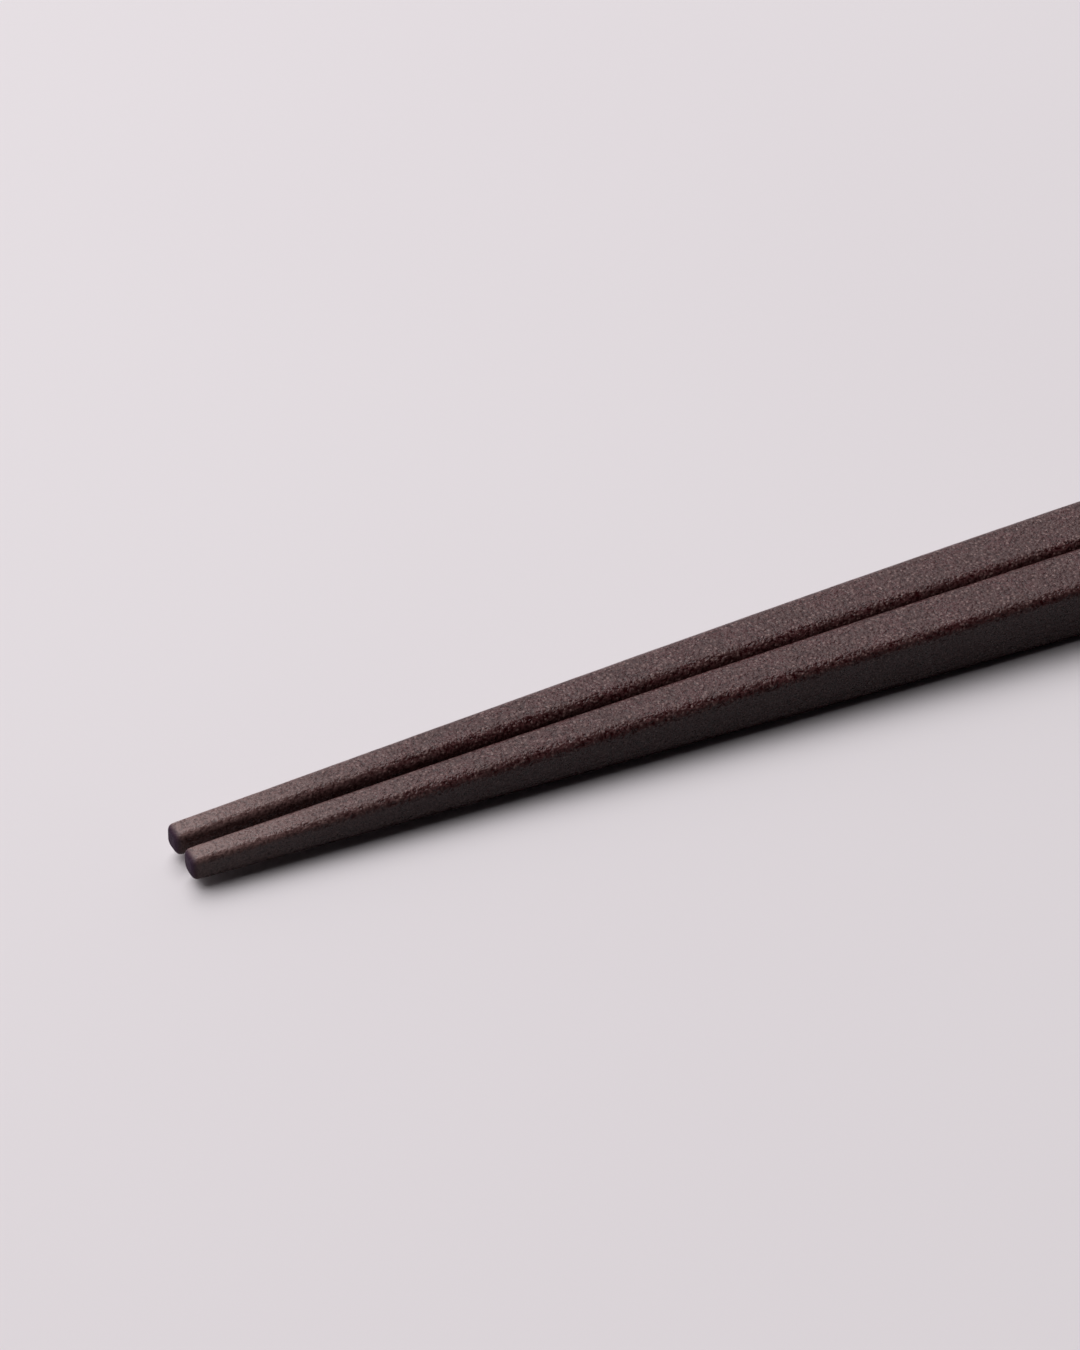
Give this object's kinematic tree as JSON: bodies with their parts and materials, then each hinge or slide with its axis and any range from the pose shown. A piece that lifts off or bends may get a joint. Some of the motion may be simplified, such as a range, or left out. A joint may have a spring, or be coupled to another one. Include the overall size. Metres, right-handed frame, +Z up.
{
  "type": "pair of chopsticks",
  "caption": "Slim square chopsticks with rounded corners and blunt tips, in a dark brown sandy lacquer, lying side by side.",
  "frame": {"origin": "on the table that the pair lies on, under the middle of the pair", "axes": "+X along the pair from the tips to the heads, +Y from the near stick to the far stick, +Z up"},
  "size_m": [0.23, 0.0174, 0.0076],
  "materials": {
    "lacquered_wood": "dark purplish-brown dry lacquer with a fine sandy grain and a satin sheen"
  },
  "bodies": {
    "root": {"near_chopstick": "lacquered_wood", "far_chopstick": "lacquered_wood"}
  },
  "joints": []
}
